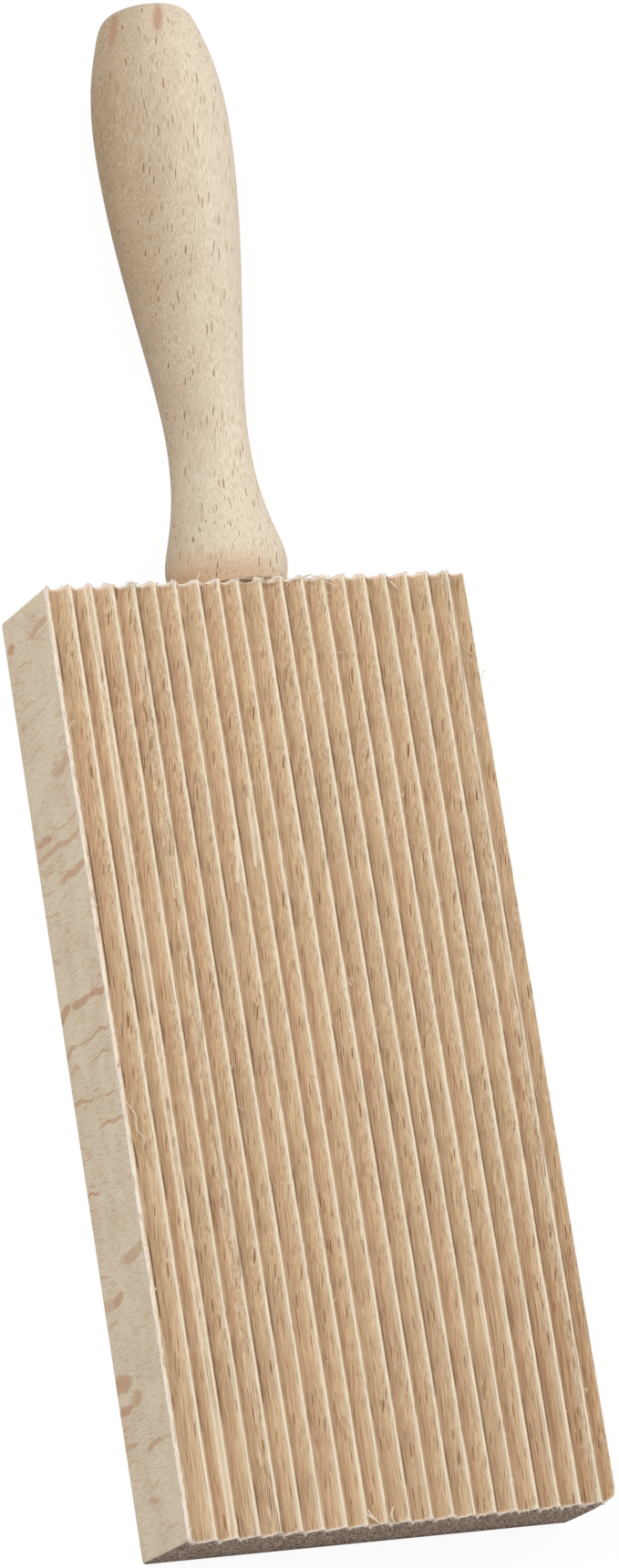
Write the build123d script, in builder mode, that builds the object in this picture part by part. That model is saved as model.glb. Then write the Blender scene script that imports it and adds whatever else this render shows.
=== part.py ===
from build123d import *

# Gnocchi board: a fluted beech block with a turned beech handle glued into its end.
# Frame: origin at the centre of the block's flat back face, +X across the width,
# +Y along the length towards the handle, +Z out of the fluted face. Millimetres.
import os
from math import asin, ceil, cos, degrees, radians, sin, tan

# Block
block_width = 60.0
block_length = 125.0
block_thickness = 16.0
corner_radius = 0.8          # the four upright corners, eased by sanding
back_edge_radius = 0.5       # the rim of the flat back face

# Flutes: a rounded V cut along the whole length, one beside the other
flute_pitch = 3.0
crest_width = 0.3            # flat left on top of each ridge
edge_land = 0.6              # flat left beside the first flute
flute_flank_angle = 60.0     # degrees from the fluted face
flute_root_radius = 1.0

# Handle, turned in one piece with its tenon; its length runs from the block's end face
handle_length = 82.5
foot_radius = 8.1            # widest ring of the foot
foot_swell = 1.0             # how far that ring stands out past the seat on the block
foot_rise = 3.9              # its distance from the block
foot_roll_angle = 15.0       # how far the foot's bead rolls on past that ring, in degrees
neck_radius = 5.5            # slimmest ring
belly_radius = 9.15          # widest ring of the grip
dome_radius = 5.0            # rim of the shallow dome that ends the grip
dome_rise = 0.9

# Places along the handle, as shares of its length
cove_reach_share = 0.133     # hollow between foot and neck
neck_reach_share = 0.267
swell_reach_share = 0.46     # where the grip swells out of the neck
grip_reach_share = 0.63
belly_reach_share = 0.776
shoulder_reach_share = 0.89  # where the grip draws in again
rounding_reach_share = 0.95

# Radii between those rings, as shares of the step from one ring to the next
cove_radius_share = 0.385    # from the neck to the foot
swell_radius_share = 0.425   # from the neck to the belly
grip_radius_share = 0.85     # from the neck to the belly
shoulder_radius_share = 0.8  # from the dome's rim to the belly
rounding_radius_share = 0.49 # from the dome's rim to the belly

# Glued joint
tenon_radius = 4.5
tenon_length = 22.0
tenon_chamfer = 0.8
glue_gap = 0.1               # all round the tenon
glue_room = 1.5              # beyond the tenon's tip
socket_chamfer = 0.5

# Overrun of cutting profiles beyond the wood
overrun = 1.0

# Flute section, worked out from its mouth, flank angle and root radius
flute_half_width = (flute_pitch - crest_width) / 2
flank = radians(flute_flank_angle)
root_half_width = flute_root_radius * sin(flank)
flank_depth = (flute_half_width - root_half_width) * tan(flank)
flute_depth = flank_depth + flute_root_radius * (1 - cos(flank))

# Flutes fill the width from the left, and the last one runs out at the right side
flute_count = ceil((block_width - edge_land) / flute_pitch)
first_flute = -block_width / 2 + edge_land + flute_half_width
flute_places = [(first_flute + flute_pitch * i, block_thickness) for i in range(flute_count)]

# Foot bead, an arc from the seat over the widest ring
foot_seat_radius = foot_radius - foot_swell
bead_radius = (foot_rise**2 + foot_swell**2) / (2 * foot_swell)
bead_rise_angle = degrees(asin(foot_rise / bead_radius))

# End dome, an arc that meets the handle's axis square
dome_arc_radius = (dome_radius**2 + dome_rise**2) / (2 * dome_rise)
dome_angle = degrees(asin(dome_radius / dome_arc_radius))

seat_y = block_length / 2
tenon_tip_y = seat_y - tenon_length
handle_end_y = seat_y + handle_length
axis_height = block_thickness / 2
handle_axis = Axis((0, 0, axis_height), (0, 1, 0))
seat_plane = Plane.XZ.offset(-seat_y)
free_end_plane = Plane.XZ.offset(seat_y + overrun)


def between(near, far, share):
    return near + share * (far - near)


def ring(radius, reach_share):
    return (radius, seat_y + reach_share * handle_length)


os.makedirs("parts", exist_ok=True)

# Ridged block: a planed slab with eased corners, a socket in its end, fluted from end to end
with BuildPart() as ridged_block:
    with BuildSketch(Plane.XY):
        RectangleRounded(block_width, block_length, corner_radius)
    extrude(amount=block_thickness)
    fillet(ridged_block.faces().sort_by(Axis.Z)[0].edges(), radius=back_edge_radius)

    with BuildSketch(seat_plane):
        with Locations((0, axis_height)):
            Circle(tenon_radius + glue_gap)
    extrude(amount=tenon_length + glue_room, mode=Mode.SUBTRACT)
    socket_mouth = ridged_block.faces().sort_by(Axis.Y)[-1].edges().filter_by(GeomType.CIRCLE)
    chamfer(socket_mouth, length=socket_chamfer)

    with BuildSketch(free_end_plane):
        with BuildSketch(mode=Mode.PRIVATE) as flute:
            with BuildLine():
                left = Line((-flute_half_width, 0), (-root_half_width, -flank_depth))
                root = ThreePointArc(left @ 1, (0, -flute_depth), (root_half_width, -flank_depth))
                right = Line(root @ 1, (flute_half_width, 0))
                Polyline(right @ 1, (flute_half_width, overrun), (-flute_half_width, overrun), left @ 0)
            make_face()
        with Locations(*flute_places):
            add(flute.sketch)
    extrude(amount=-(block_length + 2 * overrun), mode=Mode.SUBTRACT)

ridged_block.part.label = "ridged_block"
export_step(ridged_block.part, "parts/ridged_block.step")

# Turned handle: tenon, beaded foot, hollow neck, swelling grip and a shallow domed end
with BuildPart() as turned_handle:
    with BuildSketch(Plane.XY.offset(axis_height)):
        with BuildLine():
            Polyline(
                (0, tenon_tip_y),
                (tenon_radius - tenon_chamfer, tenon_tip_y),
                (tenon_radius, tenon_tip_y + tenon_chamfer),
                (tenon_radius, seat_y),
                (foot_seat_radius, seat_y),
            )
            bead = CenterArc(
                (foot_radius - bead_radius, seat_y + foot_rise),
                bead_radius,
                -bead_rise_angle,
                bead_rise_angle + foot_roll_angle,
            )
            grip = Spline(
                bead @ 1,
                ring(between(neck_radius, foot_radius, cove_radius_share), cove_reach_share),
                ring(neck_radius, neck_reach_share),
                ring(between(neck_radius, belly_radius, swell_radius_share), swell_reach_share),
                ring(between(neck_radius, belly_radius, grip_radius_share), grip_reach_share),
                ring(belly_radius, belly_reach_share),
                tangents=(bead % 1, (0, 1)),
            )
            dome = CenterArc(
                (0, handle_end_y - dome_arc_radius), dome_arc_radius, 90 - dome_angle, dome_angle
            )
            rounding = Spline(
                grip @ 1,
                ring(between(dome_radius, belly_radius, shoulder_radius_share), shoulder_reach_share),
                ring(between(dome_radius, belly_radius, rounding_radius_share), rounding_reach_share),
                dome @ 0,
                tangents=((0, 1), dome % 0),
            )
            Line(dome @ 1, (0, tenon_tip_y))
        make_face()
    revolve(axis=handle_axis)

turned_handle.part.label = "turned_handle"
export_step(turned_handle.part, "parts/turned_handle.step")

print("flutes", flute_count, "each", round(flute_depth, 3), "mm deep")
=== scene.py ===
from math import radians

import bmesh
import bpy
import numpy as np
from mathutils import Matrix, Vector


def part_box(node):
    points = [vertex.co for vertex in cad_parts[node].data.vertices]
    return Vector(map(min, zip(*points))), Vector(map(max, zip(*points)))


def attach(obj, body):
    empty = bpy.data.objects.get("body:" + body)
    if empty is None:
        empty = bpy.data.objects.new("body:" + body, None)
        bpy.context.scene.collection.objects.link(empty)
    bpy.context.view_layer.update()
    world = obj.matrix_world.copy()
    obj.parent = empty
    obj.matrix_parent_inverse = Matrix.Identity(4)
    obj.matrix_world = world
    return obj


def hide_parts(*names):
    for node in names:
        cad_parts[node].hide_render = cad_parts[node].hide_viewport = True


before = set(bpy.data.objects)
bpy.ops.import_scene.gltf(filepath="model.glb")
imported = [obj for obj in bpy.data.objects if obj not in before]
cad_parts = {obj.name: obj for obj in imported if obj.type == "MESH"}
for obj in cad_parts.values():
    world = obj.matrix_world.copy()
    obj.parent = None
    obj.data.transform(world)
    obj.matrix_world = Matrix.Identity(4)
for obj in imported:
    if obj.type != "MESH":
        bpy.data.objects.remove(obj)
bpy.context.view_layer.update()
mm = 0.001


# Camera, at the photograph's viewing angle; places in mm in the object's frame
camera = {
    "place": (-375.55, -181.02, 837.5),
    "aim": (6.56, 36.55, 8.0),
    "roll": 9.07,  # degrees, from the picture's up along the object's +Y
    "lens": 164.36,
    "sensor": 36.0,
}


def makeCamera():
    # look line from place to aim; the picture's up is +Y turned by the roll about that line
    place = Vector(camera["place"]) * mm
    look = (Vector(camera["aim"]) * mm - place).normalized()
    right = look.cross(Vector((0, 1, 0))).normalized()
    up = right.cross(look)
    turn = Matrix.Rotation(radians(camera["roll"]), 3, look)
    right, up = turn @ right, turn @ up
    data = bpy.data.cameras.new("camera")
    data.lens = camera["lens"]
    data.sensor_width = camera["sensor"]
    data.clip_start = 0.05
    data.clip_end = 20.0
    eye = bpy.data.objects.new("camera", data)
    axes = Matrix((right, up, -look)).transposed()
    eye.matrix_world = Matrix.Translation(place) @ axes.to_4x4()
    bpy.context.scene.collection.objects.link(eye)
    bpy.context.scene.camera = eye
    print("camera set")


# Shader building
def colour(red, green, blue):
    # a colour as seen on a screen, 0 to 255, turned into the linear one that shaders take
    seen = np.array([red, green, blue]) / 255
    linear = np.where(seen <= 0.04045, seen / 12.92, ((seen + 0.055) / 1.055) ** 2.4)
    return (*linear, 1.0)


class Shader:
    # a short way to write node trees: most calls add a node and return its main output
    def __init__(self, tree):
        tree.nodes.clear()
        self.tree = tree

    def feed(self, socket, value):
        # a socket takes a link from another one, or a plain value
        if isinstance(value, bpy.types.NodeSocket):
            self.tree.links.new(value, socket)
        else:
            socket.default_value = value

    def put(self, kind, inputs=None, **settings):
        # settings come first, as some of them make the inputs
        node = self.tree.nodes.new("ShaderNode" + kind)
        for name, value in settings.items():
            setattr(node, name, value)
        for name, value in (inputs or {}).items():
            self.feed(node.inputs[name], value)
        return node

    def noise(self, vector, sizes, detail=2.0, roughness=0.5, distortion=0.0, tilt=0):
        # noise whose cells measure these sizes in mm, tilted by some degrees about X
        scale = [1 / (size * mm) for size in sizes]
        cells = self.put(
            "Mapping",
            {"Vector": vector, "Scale": scale, "Rotation": (radians(tilt), 0, 0)},
        ).outputs[0]
        inputs = {"Vector": cells, "Scale": 1.0, "Detail": detail, "Roughness": roughness}
        inputs["Distortion"] = distortion
        return self.put("TexNoise", inputs).outputs["Fac"]

    def reach(self, vector, middle, turn, halves):
        # distance from a middle, with the half sizes of a turned ellipsoid as units; all in mm
        inside = self.put(
            "Mapping",
            {
                "Vector": vector,
                "Location": [part * mm for part in middle],
                "Rotation": turn,
                "Scale": [half * mm for half in halves],
            },
            vector_type="TEXTURE",
        ).outputs[0]
        return self.put("VectorMath", {0: inside}, operation="LENGTH").outputs["Value"]

    def step(self, value, low, high, smooth=True):
        # 0 below low, 1 above high; low may be the larger of the two
        return self.put(
            "MapRange",
            {"Value": value, "From Min": low, "From Max": high},
            interpolation_type="SMOOTHSTEP" if smooth else "LINEAR",
        ).outputs["Result"]

    def between(self, value, edge, low, high):
        # a step between two distances from an edge, all in mm
        return self.step(value, (edge + low) * mm, (edge + high) * mm)

    def math(self, operation, first, *others):
        # the first value and each of the others in turn
        for other in others:
            node = self.put("Math", {0: first, 1: other}, operation=operation)
            first = node.outputs[0]
        return first

    def sum(self, *values):
        return self.math("ADD", *values)

    def times(self, *values):
        return self.math("MULTIPLY", *values)

    def less(self, value, other):
        return self.math("SUBTRACT", value, other)

    def size(self, value):
        return self.math("ABSOLUTE", value, 0.0)  # the second value isn't read

    def parts(self, vector):
        return self.put("SeparateXYZ", {"Vector": vector}).outputs

    def whole(self, x, y, z):
        return self.put("CombineXYZ", {"X": x, "Y": y, "Z": z}).outputs[0]

    def marks(self):
        # the three numbers that each point of a mesh carries
        return self.parts(self.put("Attribute", attribute_name="marks").outputs["Vector"])

    def wood(self, kind, vector, numbers):
        # one of the shared groups, with a material's own numbers
        inputs = {"Vector": vector, **numbers}
        return self.put("Group", inputs, node_tree=groups[kind]).outputs

    def layers(self, look, first, rows):
        # the look's first colour, and over it each row's colour by the product of its shares
        base = look[first]
        for name, *shares in rows:
            colours = {0: self.times(*shares), 6: base, 7: look[name]}  # 6 and 7 are A and B
            base = self.put("Mix", colours, data_type="RGBA").outputs[2]
        return base


def newGroup(name, inputs, outputs):
    # a node group with these sockets, all of them numbers but Vector
    tree = bpy.data.node_groups.new(name, "ShaderNodeTree")
    for way, labels in (("INPUT", inputs), ("OUTPUT", outputs)):
        for label in labels:
            kind = "NodeSocketVector" if label == "Vector" else "NodeSocketFloat"
            tree.interface.new_socket(label, in_out=way, socket_type=kind)
    s = Shader(tree)
    return s, tree.nodes.new("NodeGroupInput").outputs, tree.nodes.new("NodeGroupOutput").inputs


def fibreGroup():
    # long wood fibres: streaks of three widths along the grain, from noise stretched along +Y
    s, given, made = newGroup("woodFibre", ["Vector", "Width", "Length"], ["Fine", "Broad", "Patch"])
    x, y, z = s.parts(given["Vector"])
    across = s.math("DIVIDE", 1 / mm, given["Width"])
    along = s.math("DIVIDE", 1 / mm, given["Length"])
    # times wider, times longer, detail
    streaks = {"Fine": (1.0, 1.0, 1.5), "Broad": (3.5, 2.5, 2.0), "Patch": (26.0, 6.0, 2.0)}
    for name, (wider, longer, detail) in streaks.items():
        vector = s.whole(
            s.times(x, across, 1 / wider), s.times(y, along, 1 / longer), s.times(z, across, 1 / wider)
        )
        noise = {"Vector": vector, "Scale": 1.0, "Detail": detail, "Roughness": 0.6}
        s.feed(made[name], s.put("TexNoise", noise).outputs["Fac"])
    return s.tree


def fleckGroup():
    # ray ends: lens shapes, long along +Y and deep along +Z, round the points of a stretched Voronoi
    inputs = ["Vector", "Apart", "Length", "Depth", "Size", "Share"]
    s, given, made = newGroup("rayEnds", inputs, ["Mask", "Rim"])
    sizes = [s.math("DIVIDE", 1 / mm, given[name]) for name in ("Apart", "Length", "Depth")]
    vector = s.whole(*(s.times(a, b) for a, b in zip(s.parts(given["Vector"]), sizes)))
    cells = s.put("TexVoronoi", {"Vector": vector, "Scale": 1.0})
    near = s.less(1.0, s.math("DIVIDE", cells.outputs["Distance"], given["Size"]))
    pick, strength, _ = s.parts(cells.outputs["Color"])
    chosen = s.math("LESS_THAN", pick, given["Share"])
    strength = s.times(chosen, s.step(strength, -0.6, 1.0))
    s.feed(made["Mask"], s.times(s.step(near, 0.04, 0.24), strength))
    s.feed(made["Rim"], s.times(s.step(near, -0.55, -0.05), strength))
    return s.tree


def grainGroup():
    # the way the grain runs: x less Slope times y and Bend times y squared, and a slow waver
    s, given, made = newGroup("grainWay", ["Vector", "Slope", "Bend"], ["Vector"])
    x, y, z = s.parts(given["Vector"])
    lean = s.sum(s.times(y, given["Slope"]), s.times(y, y, given["Bend"]))
    waver = s.less(s.noise(given["Vector"], (14.0, 22.0, 14.0), detail=1.0), 0.5)
    side = s.sum(s.less(x, lean), s.times(waver, 1.6 * mm))
    s.feed(made["Vector"], s.whole(side, y, z))
    return s.tree


groups = {"fibre": fibreGroup(), "flecks": fleckGroup(), "grain": grainGroup()}


def newMaterial(name):
    material = bpy.data.materials.new(name)
    material.use_nodes = True
    s = Shader(material.node_tree)
    return material, s, s.put("TexCoord").outputs["Object"]


def finishSurface(s, look, base, height=None):
    # the look's numbers go to the shader, and the height to a bump as deep as its relief in mm
    finish = {"Base Color": base, "Roughness": look["roughness"], "Specular IOR Level": look["gloss"]}
    shader = s.put("BsdfPrincipled", finish)
    if height is not None:
        bump = {"Height": height, "Distance": look["relief"] * mm}
        s.feed(shader.inputs["Normal"], s.put("Bump", bump).outputs[0])
    s.put("OutputMaterial", {"Surface": shader.outputs[0]})


# Materials; the sizes in their dictionaries are in mm
flutedBeech = {
    "root": colour(211, 179, 142),  # smooth wood at the bottom of a flute
    "warm": colour(214, 175, 140),
    "wall": colour(238, 213, 176),  # pale torn fibres and painted light on the walls that face left
    "crest": colour(255, 241, 213),  # torn pale fibres on the ridges
    "foot": colour(167, 142, 120),  # painted shade, greyish, right of each ridge
    "dark": colour(146, 106, 66),
    "line": colour(98, 64, 38),  # painted shade: the crisp dark line along a ridge
    "frayed": colour(255, 240, 230),  # torn wood at both ends and along the left edge
    "orange": colour(196, 146, 104),  # the wood by the right side, towards the free end
    "light": colour(242, 216, 178),
    "fleck": colour(146, 92, 50),
    "pink": colour(214, 164, 134),
    "olive": colour(206, 180, 132),
    "grain": {"Slope": 0.07, "Bend": 0.3},  # the grain runs askew to the flutes
    "fibre": {"Width": 0.09, "Length": 14.0},
    "rays": {"Apart": 0.42, "Length": 6.5, "Depth": 5.0, "Size": 0.19, "Share": 0.85},
    "smallRays": {"Apart": 0.3, "Length": 5.0, "Depth": 1.5, "Size": 0.2, "Share": 0.9},
    "speck": (0.075, 4.2, 0.075),
    "tint": (0.5, 1.6, 0.5),
    "patches": (0.25, 1.0, 0.25),  # on the frayed left edge, and the cracks there
    "cracks": (0.1, 2.0, 0.1),
    "orangeFrom": ((17, 27), (5, -45)),  # where it starts and where it is full, in x and in y
    "endFray": (-0.5, -0.1),  # the same for frayed wood, from an end and from the left side
    "edgeFray": (0.7, 0.5),
    "roughness": 0.62, "gloss": 0.3, "relief": 0.12,
}


def makeFlutedBeech():
    # marks: pale fibres, with painted light on the walls that face left; torn wood; painted shade at a
    # ridge's foot
    look = flutedBeech
    material, s, place = newMaterial("flutedBeech")
    grain = s.wood("grain", place, look["grain"])["Vector"]
    fibre = s.wood("fibre", grain, look["fibre"])
    rays = s.wood("flecks", grain, look["rays"])
    smallRays = s.wood("flecks", grain, look["smallRays"])["Mask"]
    flecks = s.math("MAXIMUM", rays["Mask"], s.times(smallRays, 0.75))
    speck = s.noise(grain, look["speck"], detail=1.0)
    tint = s.noise(grain, look["tint"], roughness=0.6)
    pale, torn, foot = s.marks()
    x, y, _ = s.parts(place)
    wide, length, _ = block["half"]

    cornerX, cornerY = look["orangeFrom"]
    corner = s.times(s.between(x, 0, *cornerX), s.between(y, 0, *cornerY))
    atEnds = s.between(s.size(y), length, *look["endFray"])
    onEdge = s.between(x, -wide, *look["edgeFray"])
    patches = s.step(s.noise(place, look["patches"]), 0.42, 0.58)
    cracks = s.step(s.noise(place, look["cracks"], detail=1.0), 0.42, 0.34)
    ragged = s.sum(s.times(s.less(fibre["Fine"], 0.5), 0.7), s.times(s.less(fibre["Broad"], 0.5), 0.35))
    amount = s.sum(pale, s.times(ragged, s.step(pale, 0.0, 0.3)))
    base = s.layers(look, "root", [
        ("warm", s.step(fibre["Patch"], 0.38, 0.62)),
        ("orange", corner, 0.6),
        # the walls that face left: pale torn fibres, with painted light
        ("wall", s.step(amount, 0.0, 0.65, smooth=False)),
        ("dark", s.step(fibre["Fine"], 0.48, 0.34), s.sum(s.times(corner, 0.25), 0.55)),
        ("light", s.step(fibre["Fine"], 0.52, 0.66), 0.6),
        ("dark", s.step(speck, 0.45, 0.34), 0.4),
        ("light", s.step(speck, 0.54, 0.64), 0.5),
        ("light", rays["Rim"], 0.35),
        # painted shade right of each ridge: a soft band, and a crisp line in places
        ("foot", foot, 0.42),
        ("line", s.step(foot, 0.5, 1.4), 0.9),
        ("pink", s.step(tint, 0.5, 0.32), 0.18),
        ("olive", s.step(tint, 0.5, 0.68), 0.18),
        ("crest", s.step(amount, 0.62, 0.95)),
        ("frayed", atEnds, pale, 0.7),
        ("frayed", patches, onEdge, 0.75),
        ("dark", cracks, onEdge, 0.7),
        ("fleck", flecks, s.step(pale, 1.0, 0.55), 0.95),
        ("fleck", torn, s.step(fibre["Broad"], 0.45, 0.3), 0.7),
    ])
    height = s.sum(
        s.times(fibre["Fine"], 0.8), s.times(flecks, -0.6), s.times(torn, fibre["Broad"], 1.5)
    )
    finishSurface(s, look, base, height)
    return material


sideBeech = {
    "base": colour(246, 229, 201),
    "shade": colour(237, 216, 187),
    "band": colour(205, 155, 115),
    "fleck": colour(150, 108, 68),
    "back": colour(220, 188, 150),
    "edge": colour(246, 230, 208),
    "fibre": {"Width": 0.34, "Length": 2.4},
    "rays": {"Apart": 0.5, "Length": 7.0, "Depth": 4.0, "Size": 0.18, "Share": 0.9},
    "fineRays": (1.2, 0.2, 2.2),
    "rayTilt": 7,  # degrees
    "clouds": (5.0, 7.0, 5.0),
    "bend": ((30.0, 16.0, 4.6), 2.4),  # how the figure bends and how rough it is: cells, amount
    "rough": ((0.9, 0.5, 0.7), 0.5),
    "apart": 21,  # the right side shows the figure this much nearer the free end
    "sideFrom": (-0.8, -0.2),  # from a side, where its wood takes over from the back's
    "wornRim": (-0.8, -0.1),  # from the ridges' top, and how far its border strays
    "rimStray": 3.0,
    "roughness": 0.6, "gloss": 0.3, "relief": 0.16,
    # ray figure across the left side, in mm: place along the board, from and to above the back,
    # thickness, rise from end to end, strength
    "figure": [
        (58.2, 0.6, 3.6, 1.1, 0, 0.8), (58.3, 7.6, 16.5, 1, 0, 0.6), (57, 9, 16, 0.3, 0.3, 0.4),
        (55.1, 2.4, 9.5, 0.32, -0.2, 0.6), (54, 0.4, 3.6, 0.5, 0, 0.25), (49.8, 1.4, 8.5, 0.3, -0.4, 0.5),
        (47.9, 1.4, 3.2, 0.7, 0, 0.5), (47.8, 7, 10.5, 0.4, 0.4, 0.4), (45.8, 13, 16.5, 0.9, 0, 0.3),
        (43.5, 0, 9, 0.3, -0.2, 0.35), (42.3, 13.4, 17, 0.5, 0, 0.4), (39.3, 9, 18, 1.5, 0, 0.5),
        (31.8, 0.4, 6.9, 0.95, -0.5, 0.75), (32.1, 6, 17, 0.3, 0.3, 0.55), (29.8, -2, 18, 0.75, 0.1, 0.65),
        (28, 1.4, 6.4, 0.9, -0.3, 0.35), (27.3, 1.6, 6.4, 0.3, -0.3, 0.6), (25.6, 6.2, 18, 1, 0.4, 0.75),
        (25, -1, 4.5, 0.5, 0, 0.35), (23.7, 6.6, 10.5, 0.35, 0.6, 0.4), (22.2, -1, 6.5, 0.35, -0.2, 0.4),
        (21.2, 1, 6, 0.3, 0, 0.3), (16.2, 0.8, 2.8, 0.7, 0, 0.4), (16.8, 4.8, 6.4, 0.5, 0, 0.45),
        (9.2, -2, 4.2, 1.45, 0, 0.9), (9.2, 3.9, 11, 1.15, 0.3, 0.85), (9.3, 9.5, 19, 0.95, -0.1, 0.85),
        (4.1, -2, 4.4, 0.75, -0.1, 0.75), (4.2, 3.6, 18, 0.45, 0.3, 0.7), (1.3, 0.4, 4.4, 0.8, 0, 0.5),
        (1.4, 6.8, 18, 0.36, 0.3, 0.65), (-2.8, -1.5, 7.8, 0.55, -0.1, 0.7), (-3.7, 7, 17, 0.3, 0, 0.4),
        (-7.2, 6.4, 18, 0.5, 0.2, 0.7), (-7.6, -1, 6.5, 0.35, 0, 0.25), (-9, 3.8, 4.8, 0.35, 1, 0.5),
        (-13.8, 0.6, 3.4, 0.35, 0, 0.35), (-14.7, -2, 5.4, 0.34, 0, 0.95), (-14.4, 5, 8.5, 0.3, 0.1, 0.4),
        (-15.4, 8.6, 13.5, 0.3, 0, 0.35), (-15.4, 13.8, 17, 0.6, 0, 0.45), (-16.9, 6.8, 9, 0.35, 0.6, 0.5),
        (-24.8, 7.2, 19, 1.4, 0, 0.6), (-25.5, -1, 4, 0.5, 0, 0.45), (-29.5, -2, 4.4, 1.5, 0, 0.4),
        (-29, 3.2, 7.4, 1.4, 1.3, 0.75), (-32, -1, 4.6, 0.35, 0, 0.45), (-34, 8, 13.5, 0.3, 0.3, 0.3),
        (-38.6, 8, 13, 0.3, 0, 0.3), (-39.8, -2, 6.2, 2.1, 0.2, 0.8), (-42.2, 4.7, 8.3, 1.6, 0.3, 0.7),
        (-43.2, -1.5, 5.5, 1, 0.6, 0.8), (-45.4, -1, 4, 0.3, 0, 0.35), (-47.8, -1, 5.4, 0.6, 0, 0.6),
        (-48.8, 6.6, 12.9, 0.8, 0.8, 0.7), (-48.6, 12, 16, 0.35, 0, 0.4), (-49.8, -1, 5, 0.4, 0, 0.3),
        (-53.8, 6.6, 10.5, 0.45, 0.5, 0.45), (-55.7, 5.4, 9, 0.7, 0, 0.65),
        (-57, 6.6, 9.6, 0.3, -0.2, 0.35), (-60, 8.8, 13.5, 0.4, 0.9, 0.5), (-60.9, 7.6, 10, 0.4, 0, 0.45),
    ],
}


def makeSideBeech():
    look = sideBeech
    material, s, place = newMaterial("sideBeech")
    fibre = s.wood("fibre", place, look["fibre"])
    flecks = s.wood("flecks", place, look["rays"])["Mask"]
    x, y, z = s.parts(place)
    wide, _, thickness = block["half"]
    onSide = s.between(s.size(x), wide, *look["sideFrom"])
    onBack = s.less(1.0, onSide)
    # fine rays cross the sides from back to ridges, a little askew
    rays = s.noise(place, look["fineRays"], roughness=0.6, distortion=0.5, tilt=look["rayTilt"])
    rays = s.sum(s.times(s.less(rays, 0.5), onSide), 0.5)
    clouds = s.noise(place, look["clouds"])
    # the larger ray figure: bands that bend together, with rough rims and crossed by the grain
    (bendCells, bendBy), (roughCells, roughBy) = look["bend"], look["rough"]
    bend = s.less(s.noise(place, bendCells, detail=1.0), 0.5)
    rough = s.less(s.noise(place, roughCells), 0.5)
    onRight = s.between(x, 0, 0, 1)
    along = s.sum(
        y, s.times(bend, bendBy * mm), s.times(rough, roughBy * mm), s.times(onRight, look["apart"] * mm)
    )
    moved = s.whole(0.0, along, z)
    spots = []
    for middle, start, end, thick, rise, strength in look["figure"]:
        turn = (-np.arctan2(rise, end - start), 0, 0)
        halves = (1, thick * 0.62, (end - start) * 0.5)
        reach = s.reach(moved, (0, middle, (start + end) / 2), turn, halves)
        spots.append(s.times(s.step(reach, 1.15, 0.65), strength))
    figure = s.math("MAXIMUM", *spots)
    stripes = s.sum(s.times(s.step(fibre["Fine"], 0.3, 0.6), 0.35), 0.75)
    rim = s.sum(z, s.times(rough, look["rimStray"] * mm))
    base = s.layers(look, "base", [
        ("shade", s.step(clouds, 0.36, 0.66), onSide),
        ("band", s.step(rays, 0.5, 0.35), 0.35),
        ("edge", s.step(rays, 0.52, 0.66), 0.6),
        ("band", s.step(rays, 0.4, 0.33), s.step(clouds, 0.46, 0.6), 0.6),
        ("band", figure, stripes, onSide, 0.88),
        # the flat back shows streaks and ray ends
        ("back", s.sum(s.times(s.step(fibre["Broad"], 0.35, 0.65), 0.6), 0.4), onBack),
        ("fleck", flecks, onBack, 0.8),
        ("band", s.step(fibre["Fine"], 0.5, 0.35), onBack, 0.3),
        # the rim under the ridges is worn pale
        ("edge", s.between(rim, thickness, *look["wornRim"]), 0.5),
    ])
    finishSurface(s, look, base, s.sum(s.times(rays, 0.8), s.times(fibre["Fine"], 0.4)))
    return material


endGrain = {
    "base": colour(184, 154, 138),
    "dark": colour(80, 54, 44),
    "pale": colour(250, 228, 208),
    "fringe": colour(255, 240, 226),
    "far": colour(204, 176, 144),  # the handle's end, cut cleaner
    "speck": (0.3, 0.3, 0.3),
    "rays": (0.3, 3.0, 2.4),
    "rings": (14.0, 10.0, 4.0),
    "darkLow": (6.5, 1.5),  # above the back: darker towards the back, and painted shade along the free end's bottom edge
    "line": (0.9, 0.4),
    "roughness": 0.85, "gloss": 0.15, "relief": 0.15,
}


def makeEndGrain():
    # mark: torn fringe under the ridges
    look = endGrain
    material, s, place = newMaterial("endGrain")
    speck = s.noise(place, look["speck"], roughness=0.7)
    rays = s.noise(place, look["rays"], roughness=0.6)
    rings = s.noise(place, look["rings"])
    fringe = s.marks()[0]
    _, y, z = s.parts(place)
    base = s.layers(look, "base", [
        ("dark", s.between(s.sum(z, s.times(rings, 4 * mm)), 0, *look["darkLow"]), 0.7),
        ("dark", s.step(speck, 0.51, 0.41), 0.95),
        ("pale", s.step(speck, 0.52, 0.6), 0.9),
        ("pale", s.step(rays, 0.56, 0.7), 0.3),
        ("far", s.between(y, 0, -1, 1), 0.6),
        # painted shade along the free end's bottom edge, where it meets the floor
        ("dark", s.between(z, 0, *look["line"]), s.between(y, 0, 1, -1), 0.5),
        ("fringe", s.step(s.sum(fringe, s.times(s.less(speck, 0.5), 1.2)), 0.25, 0.6)),
    ])
    finishSurface(s, look, base, s.sum(speck, s.times(rays, 0.5)))
    return material


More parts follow.
